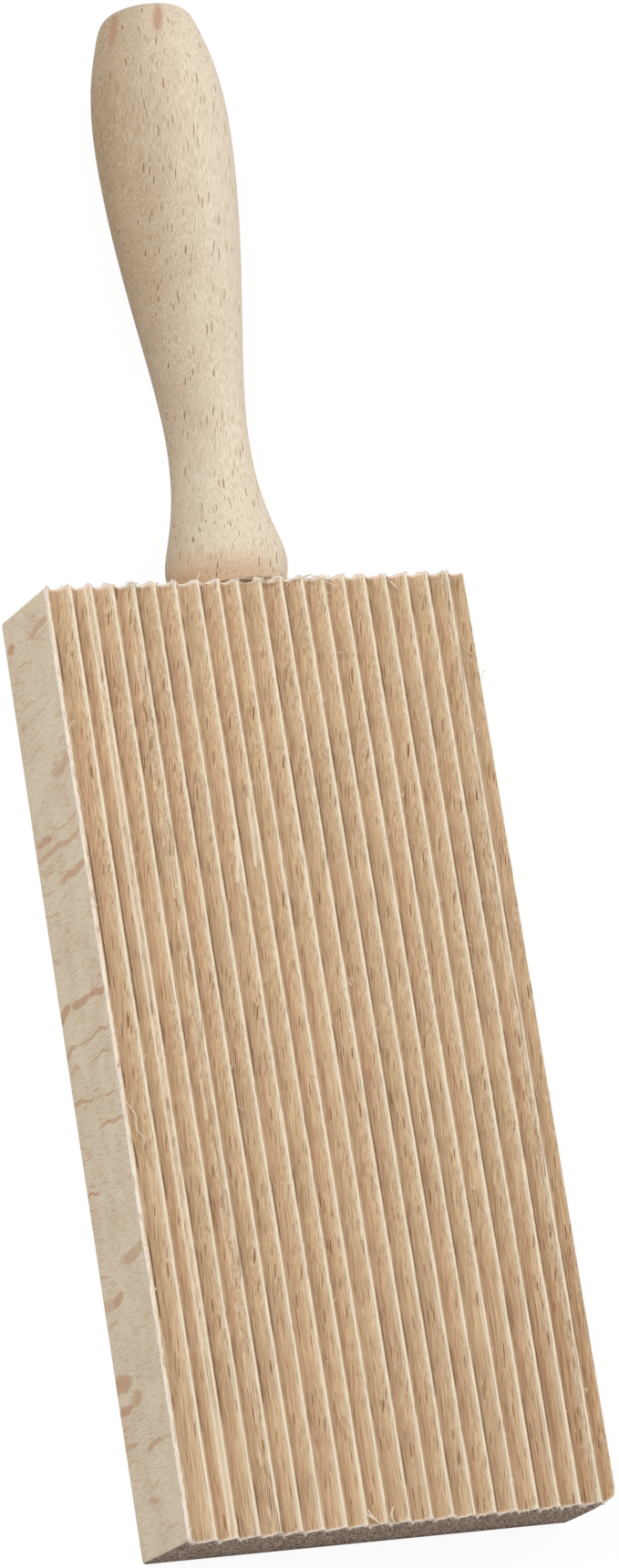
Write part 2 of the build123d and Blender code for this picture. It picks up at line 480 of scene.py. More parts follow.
handleBeech = {
    # painted shade on the side that faces down left, painted light on the side that faces up right
    "left": colour(177, 147, 110),
    "right": colour(244, 228, 203),
    "dark": colour(176, 134, 94),
    "light": colour(250, 234, 208),
    "fleck": colour(154, 106, 64),
    "streak": colour(186, 130, 94),
    # painted warm reflection of the block on the foot, and painted contact shadow where the foot meets the
    # block
    "glow": colour(218, 170, 122),
    "seam": colour(104, 70, 44),
    "grain": {"Slope": 0.11, "Bend": 0.0},
    "fibre": {"Width": 0.16, "Length": 1.5},
    "rays": {"Apart": 0.42, "Length": 5.5, "Depth": 1.3, "Size": 0.19, "Share": 0.9},
    "smallRays": {"Apart": 0.3, "Length": 3.4, "Depth": 0.8, "Size": 0.22, "Share": 0.9},
    "stipple": (0.07, 1.8, 0.07),
    # reddish streaks at the tip: middle, half width, half length, strength
    "streaks": [((-5.9, 141.0, 10.8), 0.45, 3.6, 0.55), ((-0.8, 141.3, 14.7), 0.85, 3.2, 0.6)],
    "streakDeep": 4,
    "streakTurn": -17,  # degrees
    "paler": (29.5, -0.5),  # from the seat on the block: the handle gets paler towards it, as its painted shade lessens
    "glowTo": (6, 1),
    "seamTo": (0.55, 0.3),
    "roughness": 0.55, "gloss": 0.35, "relief": 0.1,
}


def makeHandleBeech():
    # mark: 0 on the side that faces down left, 1 up right; it paints shade on the first and light on the
    # second
    look = handleBeech
    material, s, place = newMaterial("handleBeech")
    grain = s.wood("grain", place, look["grain"])["Vector"]
    fibre = s.wood("fibre", grain, look["fibre"])
    rays = s.wood("flecks", grain, look["rays"])
    smallRays = s.wood("flecks", grain, look["smallRays"])["Mask"]
    stipple = s.noise(grain, look["stipple"], detail=0.5)
    x, y, _ = s.parts(place)
    seat = block["half"][1]
    patch = s.times(s.less(fibre["Patch"], 0.5), 0.4)
    nearBlock = s.times(s.between(y, seat, *look["paler"]), 0.35)
    across = s.sum(s.marks()[0], patch, nearBlock)
    streaks = []
    for middle, wide, long, strength in look["streaks"]:
        turn = (0, 0, radians(look["streakTurn"]))
        reach = s.reach(place, middle, turn, (wide, long, look["streakDeep"]))
        streaks.append(("streak", s.step(reach, 1.2, 0.3), strength))
    seam = s.less(y, s.times(s.between(x, 0, -4, 2), 0.12 * mm))
    base = s.layers(look, "left", [
        # painted shade and painted light across the handle, by the mark
        ("right", s.step(across, 0.03, 0.86, smooth=False)),
        ("dark", s.step(fibre["Fine"], 0.5, 0.3), 0.15),
        ("dark", s.step(stipple, 0.46, 0.38), 0.28),
        ("light", s.step(stipple, 0.53, 0.61), 0.34),
        *streaks,
        # the block's painted warm reflection on the foot, and the dark seam where they meet, a painted
        # contact shadow
        ("glow", s.between(y, seat, *look["glowTo"]), s.between(x, 0, 6, -1), 0.55),
        ("seam", s.between(seam, seat, *look["seamTo"]), 0.75),
        ("light", rays["Rim"], 0.25),
        ("fleck", s.math("MAXIMUM", rays["Mask"], s.times(smallRays, 0.65))),
    ])
    finishSurface(s, look, base, s.sum(s.times(stipple, 0.9), s.times(rays["Mask"], -0.6)))
    return material


# Numbers shared by the surfaces
def wander(count, along, cell, seed):
    # for each of count lines: random heights at knots one cell apart, joined by smooth steps
    random = np.random.default_rng(seed)
    start = along.min()
    knots = int((along.max() - start) / cell) + 3
    heights = random.uniform(-1, 1, (count, knots))
    shift = random.uniform(0, 1, (count, 1))
    place = (along[None, :] - start) / cell + shift
    index = place.astype(int)
    part = place - index
    part = part * part * (3 - 2 * part)
    near = np.take_along_axis(heights, index, axis=1)
    far = np.take_along_axis(heights, index + 1, axis=1)
    return near + (far - near) * part


def bell(distance, width):
    # e to the power of minus the square of distance over width
    return np.exp(-((distance / width) ** 2))


def gridFaces(rows, columns):
    # quads of a grid numbered row by row
    start = (np.arange(rows - 1)[:, None] * columns + np.arange(columns - 1)).ravel()
    return np.stack([start, start + 1, start + columns + 1, start + columns], axis=1)


weld = 0.0005  # mm


def meshFrom(name, patches, closeHoles=False):
    # patches of (points in mm, faces, material number, marks) become one mesh with its shared
    # borders welded; the marks are three numbers a point for the materials to read
    points, faces, numbers, marks, offset = [], [], [], [], 0
    for place, quads, number, mark in patches:
        points.append(place.reshape(-1, 3))
        faces.append(quads + offset)
        numbers.append(np.full(len(quads), number))
        marks.append(np.broadcast_to(mark, place.shape).reshape(-1, 3))
        offset += len(points[-1])
    mesh = bpy.data.meshes.new(name)
    mesh.from_pydata(np.concatenate(points) * mm, [], np.concatenate(faces).tolist())
    mesh.polygons.foreach_set("material_index", np.concatenate(numbers).astype(np.int32))
    layer = mesh.attributes.new("marks", "FLOAT_VECTOR", "POINT")
    layer.data.foreach_set("vector", np.concatenate(marks).astype(np.float32).ravel())
    form = bmesh.new()
    form.from_mesh(mesh)
    bmesh.ops.remove_doubles(form, verts=form.verts, dist=weld * mm)
    if closeHoles:
        bmesh.ops.holes_fill(form, edges=form.edges, sides=0)
    bmesh.ops.recalc_face_normals(form, faces=form.faces)
    form.to_mesh(mesh)
    form.free()
    return mesh


def newPiece(name, mesh, materials, node=None):
    piece = bpy.data.objects.new(name, mesh)
    bpy.context.scene.collection.objects.link(piece)
    for material in materials:
        mesh.materials.append(material)
    mesh.shade_smooth()
    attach(piece, "root")
    if node:
        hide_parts(node)
    print(name, sum(len(face.vertices) - 2 for face in mesh.polygons), "triangles")
    return piece


# Fluted block, in mm; the sizes of its section repeat the model's
block = {
    "half": [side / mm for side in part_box("ridged_block")[1]],  # half width, half length, top
    "pitch": 3.0,
    "crest": 0.3,  # flat on a ridge
    "land": 0.6,  # flat beside the first flute
    "flank": 60.0,  # degrees
    "rootRadius": 1.0,
    "corner": 0.45,  # upright corners
    "wornCorner": 1.7,  # free end, right, at the ridges
    "backEdge": 0.3,
    # how far each ridge stands right of its even place, from the left edge on
    "stray": [0, 0.28, 0.22, 0.18, 0.22, 0.06, 0, 0.22, 0.12, -0.14, 0.02, 0.08, 0.08, 0.04, 0,
              -0.04, 0.02, 0, 0.04, 0.04, 0],
    "drift": 0.12,  # and this much more at the free end
    "waver": 0.025,
    "wear": (0.03, 0.04, 0.09),  # lost from the ridges: all over, in waves, in chips
    "wornOver": 0.3,  # how far to the sides of a ridge
    "doubled": (1, 0.85, 0.3),  # a flute with a second small ridge: number, place, height
    "torn": [(3, 0.5), (18, 0.85)],  # flutes with a torn wall, from this place to the ridge
    "tornDepth": 0.16,
    # pale splinters torn from a ridge's side: ends in the board's x and y, width
    "splinters": [(-8.5, 29.4, -8.95, 22.3, 0.16), (-5.9, 33.0, -6.1, 24.2, 0.14)],
    "splinterHigh": 0.2,
    # burr at the free end and at the handle's end: all along, and more round this place in a
    # flute, over this width; then how fast it fades inwards and downwards
    "lips": [(0.08, 0.4, -1.0, 0.5), (0.06, 0.28, 0.75, 0.55)],
    "lipFade": (0.16, 0.5),
    "fringe": 0.9,  # how far torn fibres hang down the sides and ends
    # mesh lines: places across a flute, from the side edges, from the ends, and down the walls
    "columns": [-1.35, -1.23, -1.08, -0.87, -0.74, -0.6, -0.3, 0, 0.3, 0.55, 0.7, 0.84, 0.95, 1.1,
                1.25, 1.35, 1.5],
    "edgeColumns": [0, 0.06, 0.14, 0.25, 0.4],
    "endRows": [0, 0.05, 0.12, 0.22, 0.35, 0.5, 0.7, 0.95, 1.3, 1.8],
    "wallRows": [0.9, 0.6, 0.38, 0.2, 0.08],
    "stepAlong": 0.62,
    "seed": 11,
}


def fluteSection(off, half):
    # depth of the rounded V at these distances from its middle: an arc, straight flanks, flat crests
    flank = radians(block["flank"])
    radius = block["rootRadius"]
    rootHalf = radius * np.sin(flank)
    flankDepth = (half - rootHalf) * np.tan(flank)
    off = np.abs(off)
    arc = flankDepth + np.sqrt(np.maximum(radius**2 - off**2, 0)) - radius * np.cos(flank)
    return np.where(off < rootHalf, arc, np.maximum((half - off) * np.tan(flank), 0))


def flutedTop():
    # height over a grid of x and y: flutes side by side, ridges that stray and are worn, a second
    # small ridge in one flute and torn walls in others; and the marks that its material reads
    wide, length, thickness = block["half"]
    pitch, land, seed = block["pitch"], block["land"], block["seed"]
    half = (pitch - block["crest"]) / 2
    count = int(np.ceil((2 * wide - land) / pitch))
    first = -wide + land + half
    x = np.add.outer(first + pitch * np.arange(count), block["columns"]).ravel()
    edge, ends = np.array(block["edgeColumns"]), np.array(block["endRows"])
    x = np.concatenate([-wide + edge, x[x < wide - edge[-1]], wide - edge])
    x = np.unique(np.round(x, 4))
    inner = length - ends[-1]
    middle = np.linspace(-inner, inner, int(2 * length / block["stepAlong"]))[1:-1]
    y = np.concatenate([-length + ends, middle, (length - ends)[::-1]])
    gridX, gridY = np.meshgrid(x, y, indexing="ij")
    column = np.arange(len(y))[None, :]

    ridge = np.clip((gridX - first) / pitch + 0.5, 0, count)
    flute = np.clip(np.floor(ridge).astype(int), 0, count - 1)
    off = gridX - first - flute * pitch
    nearest = np.round(ridge).astype(int)
    fromRidge = np.abs(ridge - nearest) * pitch

    def perRidge(cell, number):
        # a line of its own for each ridge
        return wander(count + 1, y, cell, seed + number)

    # each ridge line strays on its own, and the flutes between are stretched to fit
    stray = np.array(block["stray"])[:, None] + block["drift"] * (length - y)[None, :] / (2 * length)
    stray = stray + block["waver"] * perRidge(7.0, 0)
    stray[0] = stray[-1] = 0
    part = ridge - flute
    shift = stray[flute, column] * (1 - part) + stray[flute + 1, column] * part
    shift = shift * np.clip((wide - np.abs(gridX)) / land, 0, 1)

    waves, chips = perRidge(5.0, 1), perRidge(1.6, 2)
    allOver, inWaves, inChips = block["wear"]
    loss = allOver + inWaves * (waves + 1) / 2 + inChips * np.clip((chips - 0.5) / 0.5, 0, 1)
    loss = loss[nearest, column] * bell(fromRidge, block["wornOver"])
    top = thickness - fluteSection(off, half) - loss

    # pale fibres up the walls that face left, with painted light there, and on the ridges
    uneven = perRidge(4.0, 4)[nearest, column]
    climb = np.clip((off - 0.4 - 0.15 * uneven) / (1.0 - 0.15 * uneven), 0, 1)
    core = bell(np.maximum(fromRidge - 0.02 + 0.02 * uneven, 0), 0.09)
    pale = np.where(off > 0, 0.89 * climb**0.8 + 0.31 * core, 1.2 * core)
    # right of a ridge: a painted soft shade with a painted crisp shade line in places, and pale fuzz in
    # others
    crisp = (perRidge(6.0, 5) + 0.4 * perRidge(2.4, 6))[nearest, column]
    line = 3.4 * np.clip(1.5 * crisp, 0, 1) * bell(off + 0.84, 0.15)
    foot = np.maximum(0.4 * bell(off + 0.85, 0.25), line)
    fuzz = np.clip(-1.2 * crisp, 0, 1) * bell(off + 0.88, 0.12)
    pale = np.maximum(pale, 0.95 * fuzz)
    # and pale on the left land and at both ends
    onLand = gridX < -wide + land
    pale = np.maximum(pale, np.where(onLand, 0.45, 0))
    toEnd = length - np.abs(gridY)
    pale = np.maximum(pale, 1.15 * bell(toEnd, np.where(gridY > 0, 0.26, 0.18)))

    number, place, height = block["doubled"]
    inFlute = (flute == number) & (off > 0)
    height = height * (0.8 + 0.4 * wander(1, y, 3.0, seed + 3))
    groove = 0.1 * bell(off - place - 0.24, 0.12)
    top = top + inFlute * (height * bell(off - place, 0.13) - groove)
    onSmall = np.maximum(pale, 0.62 + 0.43 * bell(off - place, 0.1))
    pale = np.where(inFlute & (off > place - 0.2), onSmall, pale)

    torn = 0.6 * onLand * np.clip(wander(1, y, 2.2, seed + 7) + 0.3, 0, 1)
    for number, begin in block["torn"]:
        rough = block["tornDepth"] * wander(len(x), y, 1.1, seed + number)
        border = begin + 0.15 * wander(1, y, 2.5, seed + number)
        inside = (flute == number) * np.clip((off - border) / 0.12, 0, 1)
        top = top + inside * (rough * np.clip(toEnd, 0, 1) * (off < 1.3) + 0.08)
        onWall = np.maximum(pale, 0.62 + 0.25 * bell(off - border, 0.15))
        pale = np.where(inside > 0, onWall, pale)
        torn = np.maximum(torn, inside)
    for x0, y0, x1, y1, thick in block["splinters"]:
        along = np.array([x1 - x0, y1 - y0])
        share = ((gridX + shift - x0) * along[0] + (gridY - y0) * along[1]) / (along @ along)
        away = np.hypot(gridX + shift - x0 - share * along[0], gridY - y0 - share * along[1])
        inside = bell(away, thick) * (share > 0) * (share < 1)
        top = top + block["splinterHigh"] * inside
        pale = np.maximum(pale, 1.3 * inside)
    top = np.minimum(top, thickness)
    return gridX, gridY, shift, top, np.stack([pale, torn, foot], axis=2)


def pressCorners(px, py, level):
    # square corners pressed into quarter circles, one of them wider towards the ridges
    wide, length, _ = block["half"]
    worn = (px > 0) & (py < 0)
    radius = block["corner"] + worn * (block["wornCorner"] - block["corner"]) * level**3
    cx = np.clip(px, -wide + radius, wide - radius)
    cy = np.clip(py, -length + radius, length - radius)
    dx, dy = px - cx, py - cy
    longest = np.maximum(np.abs(dx), np.abs(dy))
    reach = np.hypot(dx, dy)
    ratio = np.where(reach > 1e-9, longest / np.maximum(reach, 1e-9), 1.0)
    return cx + dx * ratio, cy + dy * ratio


def makeBlock(materials, surface):
    # the fluted top as a height over x and y; sides and ends are shares of that height down to
    # the back, whose rim is rounded, and the back closes the shape
    wide, length, thickness = block["half"]
    onTop, onSides, onEnds = range(3)  # numbers of the materials
    gridX, gridY, shift, top, marks = surface
    back, x = block["backEdge"], gridX[:, 0]
    rim = back * (1 - np.cos(np.linspace(0, np.pi / 2, 6)))
    fringe = thickness - np.array(block["wallRows"])
    levels = np.concatenate([rim, np.linspace(back, fringe[0], 10)[1:-1], fringe, [thickness]]) / thickness

    # a ragged lip of torn wood along the top of each end, which fades before the corners
    ragged = 1 + 0.6 * wander(2, x, 0.5, block["seed"] + 8) + 0.4 * wander(2, x, 0.22, block["seed"] + 9)
    within = (x + wide - block["land"]) % block["pitch"] - block["pitch"] / 2
    allAlong, more, place, spread = np.array(block["lips"]).T[:, :, None]
    lips = ragged * (allAlong + more * bell(within - place, spread))
    lips = lips * np.clip((wide - np.abs(x)) / 1.2 - 0.8, 0, 1)
    fadeIn, fadeDown = block["lipFade"]

    def lipAt(py, inside, drop):
        # y moved out by the lip of its column, which fades inwards and downwards
        out = np.where(py < 0, -lips[0][:, None], lips[1][:, None])
        return py + out * np.exp(-inside / fadeIn - drop / fadeDown)

    def wall(edge, number):
        # an upright face: each column runs from the back to one point of the fluted face's border
        line = (gridX + shift)[edge], gridY[edge], top[edge]
        edgeX, edgeY, edgeTop = (np.repeat(each[:, None], len(levels), 1) for each in line)
        share = np.repeat(levels[None, :], len(edgeX), 0)
        height = share * edgeTop
        px, py = pressCorners(edgeX, edgeY, share)
        under = np.clip(back - height, 0, back)
        inset = back - np.sqrt(back**2 - under**2)
        py = py * (1 - inset / length)
        if number == onEnds:
            py = lipAt(py, 0, edgeTop - height)
        points = np.stack([px * (1 - inset / wide), py, height], axis=2)
        mark = np.zeros_like(points)
        mark[..., 0] = np.exp((height - edgeTop) / block["fringe"])
        return points, gridFaces(*share.shape), number, mark

    flatX, flatY = pressCorners(gridX + shift, gridY, np.ones_like(gridX))
    flatY = lipAt(flatY, length - np.abs(gridY), 0)
    patches = [(np.stack([flatX, flatY, top], axis=2), gridFaces(*top.shape), onTop, marks)]
    for end in (0, -1):
        patches.append(wall((end, slice(None)), onSides))
        patches.append(wall((slice(None), end), onEnds))
    mesh = meshFrom("flutedBlock", patches, closeHoles=True)
    mesh.polygons[-1].material_index = onSides  # the back
    newPiece("flutedBlock", mesh, materials, "ridged_block")


# Turned handle, in mm from its seat; rings as in the model
handle = {
    "rings": [  # (radius, distance from the seat)
        (6.5, 10.97), (5.5, 22.03), (7.05, 37.95), (8.6, 51.98), (9.15, 64.02),
        (8.32, 73.43), (7.03, 78.38), (5.0, 81.6),
    ],
    "foot": (7.1, 8.1, 3.9),  # seat radius, widest radius and its distance
    "footTurn": 15.0,  # degrees, how far the foot's arc turns in above that
    "length": 82.5,
    "tenon": (4.5, 22.0, 0.8),  # radius, length, chamfer
    "around": 160,
    "lean": 0.0092,  # glued a little askew, in radians
    "aside": -0.46,  # and left of the middle
    "height": 8.0,  # its axis above the back
    "unevenness": 0.02,
    # the way its painted lit side faces in x and z, and how much paler it is where it is slim
    "paintedLitSide": (0.91, 0.41),
    "paintedLitNeck": 0.032,
    "paintedLitFull": 8.0,  # radius from which the painted light and shade of the sides differ in full
    "seed": 5,
}


def curveThrough(knots, startSlope, endSlope, count):
    # a cubic curve through the knots: chord lengths as parameter, slopes solved for equal bending
    knots = np.asarray(knots, float)
    gaps = np.linalg.norm(np.diff(knots, axis=0), axis=1)
    places = np.concatenate([[0], np.cumsum(gaps)])
    size = len(knots)
    matrix = np.zeros((size, size))
    right = np.zeros_like(knots)
    matrix[0, 0] = matrix[-1, -1] = 1
    right[0], right[-1] = startSlope, endSlope
    inner = np.arange(1, size - 1)
    matrix[inner, inner - 1] = 1 / gaps[:-1]
    matrix[inner, inner] = 2 / gaps[:-1] + 2 / gaps[1:]
    matrix[inner, inner + 1] = 1 / gaps[1:]
    before = np.diff(knots, axis=0) / gaps[:, None] ** 2
    right[1:-1] = 3 * (before[:-1] + before[1:])
    slopes = np.linalg.solve(matrix, right)
    at = np.linspace(0, places[-1], count)
    span = np.clip(np.searchsorted(places, at, side="right") - 1, 0, size - 2)
    part = ((at - places[span]) / gaps[span])[:, None]
    gap = gaps[span][:, None]
    a, b = knots[span], knots[span + 1]
    sa, sb = slopes[span] * gap, slopes[span + 1] * gap
    left = 1 - part
    return (a * (1 + 2 * part) + sa * part) * left**2 + (b * (3 - 2 * part) - sb * left) * part**2


def arc(middleX, middleY, radius, angles):
    # the points of a circle at these angles
    return np.stack([middleX + radius * np.cos(angles), middleY + radius * np.sin(angles)], axis=1)


def handleProfile():
    # radius and distance from the seat: tenon, foot bead as an arc, grip and rounding, end dome
    seat, foot, rise = handle["foot"]
    swell = foot - seat
    beadRadius = (rise**2 + swell**2) / (2 * swell)
    startAngle, leaveAngle = -np.arcsin(rise / beadRadius), radians(handle["footTurn"])
    bead = arc(foot - beadRadius, rise, beadRadius, np.linspace(startAngle, leaveAngle, 26))
    rings = handle["rings"]
    rim, rimAt = rings[-1]
    crown = handle["length"] - rimAt
    domeRadius = (rim**2 + crown**2) / (2 * crown)
    domeAngle = np.arcsin(rim / domeRadius)
    leave = (-np.sin(leaveAngle), np.cos(leaveAngle))
    arrive = (-np.cos(domeAngle), np.sin(domeAngle))
    grip = curveThrough([bead[-1], *rings[:5]], leave, (0, 1), 190)
    rounding = curveThrough(rings[4:], (0, 1), arrive, 80)
    turns = np.pi / 2 - np.linspace(domeAngle, 0, 22)
    dome = arc(0, handle["length"] - domeRadius, domeRadius, turns)
    radius, reach, chamfer = handle["tenon"]
    tenon = [(0, -reach), (radius - chamfer, -reach), (radius, chamfer - reach), (radius, 0)]
    return np.concatenate([tenon, bead, grip[1:], rounding[1:], dome[1:]])


def makeHandle(material):
    # the profile turned about its axis, a little out of round, then set askew as it was glued
    profile = handleProfile()
    seat = block["half"][1]
    angle = np.linspace(0, 2 * np.pi, handle["around"] + 1)
    radius, along = profile[:, :1], profile[:, 1:]
    uneven = wander(1, profile[:, 1], 6.0, handle["seed"])[0][:, None]
    grown = radius + handle["unevenness"] * uneven * (along > 1.0) * (radius > 2.0)  # not at the tip
    px = grown * np.cos(angle)
    pz = grown * np.sin(angle)
    py = along + 0 * px
    outside = (np.arange(len(profile)) >= 4)[:, None]  # the tenon's four rings stay straight
    centre = (handle["aside"] + handle["lean"] * along) * outside
    points = np.stack([px + centre, py + seat, pz + handle["height"]], axis=2)
    # mark for painted light and shade: 0 on the side that faces down left, 1 up right, and a little more
    # where it is slim
    thickest, slimmest = handle["rings"][4][0], handle["rings"][1][0]
    towardsX, towardsZ = handle["paintedLitSide"]
    across = (towardsX * px + towardsZ * pz) / np.maximum(grown, handle["paintedLitFull"])
    slim = thickest - np.maximum(radius, slimmest)
    mark = np.zeros_like(points)
    mark[..., 0] = 0.5 + 0.5 * across + handle["paintedLitNeck"] * slim
    mesh = meshFrom("beechHandle", [(points, gridFaces(*px.shape), 0, mark)])
    newPiece("beechHandle", mesh, [material], "turned_handle")


# Loose fibres, in mm
fibres = {
    "sides": 4,  # of a hair's section, and its points along
    "steps": 7,
    "thin": 0.055,
    "fringe": [(0, -1, 4.0), (-1, 1, 2.0)],  # border row of the top, way out, hairs to the mm
    "fringeLong": (0.3, 1.0),
    "loops": (26, 9.5, (0.8, 2.4)),  # before the handle: how many, over which half width
    "perRidge": 9,
    "ridgeLong": (0.6, 2.2),
    "ridgeTop": 0.32,  # a ridge is what stands less than this below the top
    "perTuft": 4,
    "tuftLong": (0.4, 1.2),
    # tufts of short curly hairs: x, y
    "tufts": [
        (16, 32.5), (9.9, 52), (6.7, 46.3), (9.5, 35.8), (21.4, 35.6), (12.7, 27.3), (16, 26),
        (18.8, 18.2), (21.7, 13.8), (9.6, 12.5), (15.6, 8.5), (3.9, 8), (15.6, -20), (28, 40),
        (28, -48), (-8.2, -41), (29.3, 51.4), (29.6, 48), (29.4, -8.5), (29.3, -34.5), (-29.6, 20),
        (-29.7, 31), (-29.6, -30), (-20.8, -62), (-14.8, -62), (3.0, -62.2), (12.0, -62.1), (21.3, -62),
    ],
    # longer curls and slivers: half thickness, then knots of x, y and height over the ridges
    "curls": [
        (0.1, [(-29.7, -4.6, -0.2), (-29.5, -5.9, 0.2), (-29.0, -6.8, 0.4), (-28.6, -8.1, 0.6),
               (-28.8, -9.2, 0.7), (-28.2, -10.4, 0.6), (-26.7, -10.9, 0.3)]),
        (0.08, [(-28.5, -5.4, -0.1), (-28.6, -6.0, 0.3), (-29.0, -6.8, 0.4)]),
        (0.08, [(-28.3, -10.3, 0.6), (-27.9, -11.0, 0.5), (-27.9, -11.8, 0.3)]),
        (0.08, [(-29.5, 43.0, -0.2), (-29.2, 43.9, 0.2), (-28.8, 44.3, 0.3), (-28.1, 44.1, 0.1)]),
        (0.11, [(18.7, 61.7, -0.1), (19.2, 61.1, 0.2), (19.9, 60.3, 0.1)]),
        (0.09, [(9.3, 61.7, -0.1), (10.1, 61.5, 0.2), (10.9, 61.1, 0.1)]),
        (0.2, [(-5.6, -60.9, -0.2), (-4.8, -61.6, 0.2), (-3.7, -62.6, 0.3)]),
        (0.13, [(-5.0, -60.4, -0.2), (-4.7, -61.4, 0.2), (-4.2, -62.3, 0.3)]),
        (0.14, [(-1.3, -60.4, -0.1), (-1.9, -61.2, 0.3), (-2.0, -62.0, 0.3), (-1.5, -62.8, 0.1)]),
        (0.05, [(-5.0, 62.1, -0.1), (-3.0, 62.5, 0.3), (0.5, 62.3, 0.4), (4.0, 62.4, -0.1)]),
        (0.05, [(5.5, 61.9, -0.1), (7.0, 62.6, 0.3), (9.0, 62.2, 0.2), (11.5, 62.4, -0.2)]),
        (0.05, [(-19.2, 62.2, -0.1), (-18.0, 62.8, 0.2), (-16.8, 62.4, 0.1), (-15.2, 62.5, -0.2)]),
    ],
    "colour": colour(252, 236, 212),
    "shade": colour(226, 200, 168),
    "patches": (3.0, 3.0, 1.0),
    "roughness": 0.6, "gloss": 0.25,
    "seed": 3,
}


def hairPaths(starts, heading, climb, long):
    # arcs of this length from each start: heading and climb turn evenly from their first angle to
    # their second, and the steps along those directions are summed
    share = np.linspace(0, 1, fibres["steps"])
    turn = np.radians(heading[0][:, None] * (1 - share) + heading[1][:, None] * share)
    rise = np.radians(climb[0][:, None] * (1 - share) + climb[1][:, None] * share)
    way = np.stack([np.cos(rise) * np.cos(turn), np.cos(rise) * np.sin(turn), np.sin(rise)], axis=2)
    steps = way * (long / (fibres["steps"] - 1))[:, None, None]
    return starts[:, None] + np.cumsum(steps, axis=1) - steps[:, :1]


def strandTubes(paths, thin):
    # a tube round each path: rings across its direction, swelling from a point at both ends
    sides, steps = fibres["sides"], paths.shape[1]
    swell = np.sin(np.pi * np.linspace(0, 1, steps)) ** 0.6
    along = np.gradient(paths, axis=1)
    along /= np.linalg.norm(along, axis=2, keepdims=True)
    side = np.cross(along, (0.31, 0.17, 0.93))  # a direction that no path takes
    side /= np.linalg.norm(side, axis=2, keepdims=True)
    over = np.cross(along, side)
    angle = np.linspace(0, 2 * np.pi, sides + 1)
    ring = np.cos(angle)[:, None] * side[:, :, None] + np.sin(angle)[:, None] * over[:, :, None]
    points = paths[:, :, None] + ring * (thin[:, None] * swell)[:, :, None, None]
    each = np.arange(len(paths))[:, None, None] * len(angle) * steps
    return points, (gridFaces(steps, len(angle)) + each).reshape(-1, 4), 0, np.zeros(3)


def makeFibres(material, surface):
    # short hairs along both cut ends and on the ridges, curly tufts, and the long curls
    wide, length, thickness = block["half"]
    gridX, gridY, shift, top, _ = surface
    flatX = gridX + shift
    ridgeTop = thickness - fibres["ridgeTop"]
    random = np.random.default_rng(fibres["seed"])
    patches = []

    def add(starts, heading, climb, long, thick):
        thin = fibres["thin"] * thick * random.uniform(0.7, 1.3, len(long))
        patches.append(strandTubes(hairPaths(np.stack(starts, 1), heading, climb, long), thin))

    for row, out, density in fibres["fringe"]:
        count = int(2 * wide * density)
        lowest, highest = 0.5 - wide, wide - 2.0
        ridges = random.choice(flatX[1:-1, row][top[1:-1, row] > ridgeTop], count // 2)
        x = random.uniform(lowest, highest, count)
        x[: len(ridges)] = np.clip(ridges + random.normal(0, 0.3, len(ridges)), lowest, highest)
        z = np.interp(x, flatX[:, row], top[:, row]) - random.uniform(0, 0.25, count)
        y = np.full(count, out * (length - 0.06))
        first = out * 90 + random.normal(0, 50, count)
        turn = random.normal(0, 60, count)
        rise = random.uniform(-20, 50, count)
        long = random.uniform(*fibres["fringeLong"], count) * random.uniform(0.5, 1, count)
        add((x, y, z), (first, first + turn), (rise, rise - 80), long, 1.3)

    count, half, span = fibres["loops"]
    x = random.uniform(-half, half, count)
    z = np.interp(x, flatX[:, -1], top[:, -1]) - random.uniform(0, 0.2, count)
    y = length + random.uniform(-0.3, 0.1, count)
    first = random.choice([0, 180], count) + random.normal(0, 22, count)
    rise = random.uniform(5, 35, count)
    long = random.uniform(*span, count)
    add((x, y, z), (first, first + random.normal(0, 40, count)), (rise, -rise), long, 1.5)

    crests = np.flatnonzero(top[:, 40] > ridgeTop)  # any row shows where the ridges are
    count = fibres["perRidge"] * (len(block["stray"]) - 1)
    column = random.choice(crests, count)
    row = random.integers(4, top.shape[1] - 4, count)
    starts = flatX[column, row], gridY[column, row], top[column, row] - 0.04
    first = random.choice([-90, 90], count) + random.normal(0, 14, count)
    rise = random.uniform(4, 22, count)
    long = random.uniform(*fibres["ridgeLong"], count) * random.uniform(0.3, 1, count)
    add(starts, (first, first + random.normal(0, 30, count)), (rise, -rise), long, 0.9)

    tufts = np.repeat(np.array(fibres["tufts"], float), fibres["perTuft"], axis=0)
    count = len(tufts)
    tufts = tufts + random.normal(0, 0.3, (count, 2))
    first = random.uniform(0, 360, count)
    rise = random.uniform(20, 60, count)
    long = random.uniform(*fibres["tuftLong"], count)
    starts = *tufts.T, np.full(count, thickness - 0.15)
    add(starts, (first, first + random.normal(0, 160, count)), (rise, -rise), long, 0.9)

    for thin, knots in fibres["curls"]:
        knots = np.array(knots) + (0, 0, thickness)
        slopes = [way / np.linalg.norm(way) for way in (knots[1] - knots[0], knots[-1] - knots[-2])]
        path = curveThrough(knots, *slopes, 8 * len(knots))
        patches.append(strandTubes(path[None], np.array([thin])))
    newPiece("tornFibres", meshFrom("tornFibres", patches), [material])


def makeFibreLook():
    material, s, place = newMaterial("paleFibre")
    patches = s.step(s.noise(place, fibres["patches"]), 0.4, 0.7)
    finishSurface(s, fibres, s.layers(fibres, "colour", [("shade", patches)]))
    return material


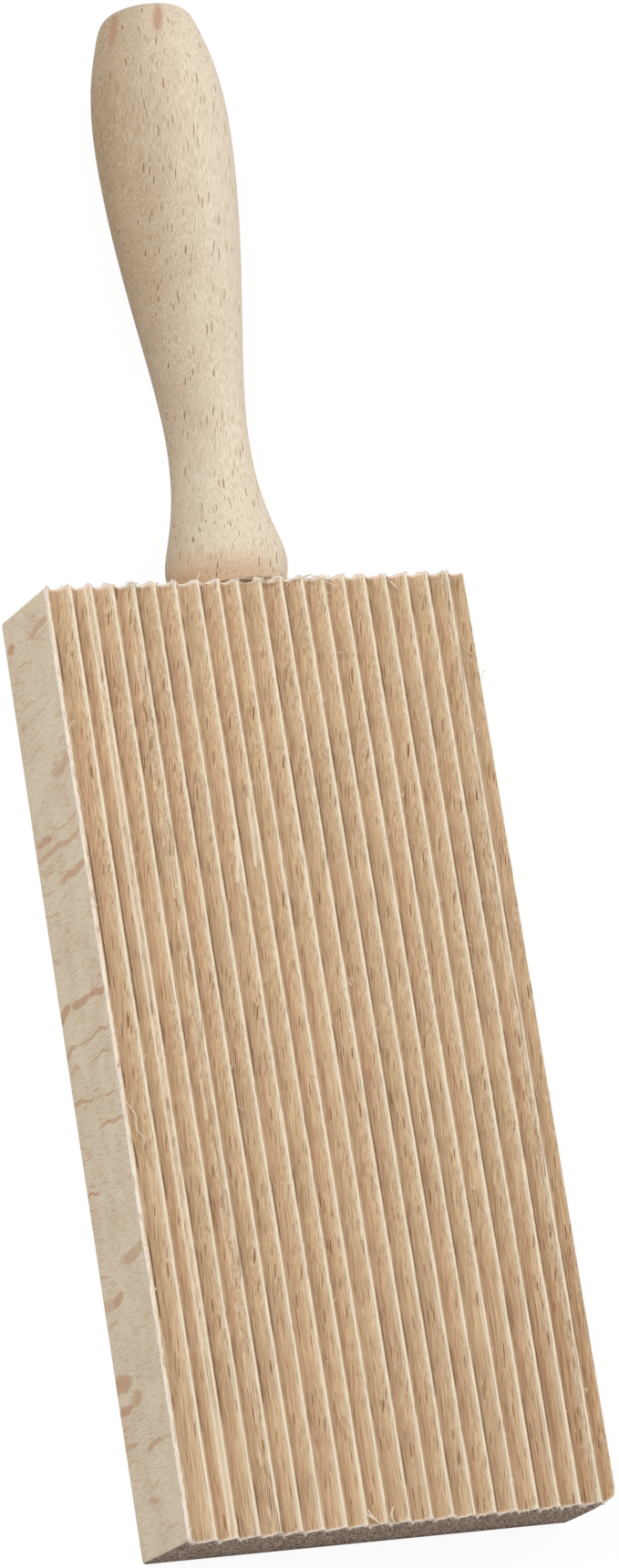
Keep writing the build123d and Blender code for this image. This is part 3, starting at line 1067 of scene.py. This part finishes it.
# Floor, lamps and world
studio = {
    "floorHalf": 3.0,  # metres
    "floorDip": (-62.0, 126.5, -1.2),  # under the free end's edge and under the belly, mm
    "floorPaint": (0.5, 0.5, 0.5, 1.0),
    "floorSeen": (0.1, 0.1, 0.1, 1.0),
    "floorGlow": 0.93,
    "sky": 0.42,
    # name, place as seen from the object, width and watts
    "lamps": [
        ("lampLeft", (-0.55, 0.28, 0.81), 0.34, 4.6),
        ("lampRight", (0.82, 0.30, 0.48), 0.40, 3.6),
    ],
}


def makeFloor():
    # a plane that touches the block's free end and the handle's belly, as the board lies; the
    # camera sees it near white with a faint shadow, and other rays find a grey floor
    near, far, drop = studio["floorDip"]
    half = studio["floorHalf"]
    slope = drop / (far - near)
    corners = [
        (px, py, (py / mm - near) * slope * mm - 0.03 * mm)
        for px, py in ((-half, -half), (half, -half), (half, half), (-half, half))
    ]
    mesh = bpy.data.meshes.new("floor")
    mesh.from_pydata(corners, [], [(0, 1, 2, 3)])
    floor = bpy.data.objects.new("floor", mesh)
    bpy.context.scene.collection.objects.link(floor)
    material, s, _ = newMaterial("paleFloor")
    paint = s.put("BsdfDiffuse", {"Color": studio["floorPaint"]}).outputs[0]
    shade = s.put("BsdfDiffuse", {"Color": studio["floorSeen"]}).outputs[0]
    glow = {"Color": (1, 1, 1, 1), "Strength": studio["floorGlow"]}
    glow = s.put("Emission", glow).outputs[0]
    white = s.put("AddShader", {0: shade, 1: glow}).outputs[0]
    rays = s.put("LightPath").outputs
    seen = s.math(
        "MAXIMUM", rays["Is Camera Ray"], rays["Is Glossy Ray"], rays["Is Transmission Ray"]
    )
    choice = s.put("MixShader", {0: seen, 1: paint, 2: white}).outputs[0]
    s.put("OutputMaterial", {"Surface": choice})
    mesh.materials.append(material)


def makeLight():
    # a large soft lamp high on the left, a lower one on the right, and an even pale world
    for name, place, size, power in studio["lamps"]:
        lamp = bpy.data.lights.new(name, "AREA")
        lamp.shape = "DISK"
        lamp.size = size
        lamp.energy = power
        holder = bpy.data.objects.new(name, lamp)
        holder.location = place
        holder.rotation_euler = (-Vector(place)).to_track_quat("-Z", "Y").to_euler()
        bpy.context.scene.collection.objects.link(holder)
    world = bpy.data.worlds.new("paleWorld")
    bpy.context.scene.world = world
    world.use_nodes = True
    s = Shader(world.node_tree)
    rays = s.put("LightPath").outputs
    seen = s.math("MAXIMUM", rays["Is Camera Ray"], rays["Is Transmission Ray"])
    strength = s.sum(s.times(seen, 1 - studio["sky"]), studio["sky"])
    sky = s.put("Background", {"Color": (1, 1, 1, 1), "Strength": strength})
    s.put("OutputWorld", {"Surface": sky.outputs[0]})
    print("floor and lamps set")


makeCamera()
surface = flutedTop()
makeBlock([makeFlutedBeech(), makeSideBeech(), makeEndGrain()], surface)
makeHandle(makeHandleBeech())
makeFibres(makeFibreLook(), surface)
makeFloor()
makeLight()
bpy.context.scene.view_settings.view_transform = "Standard"
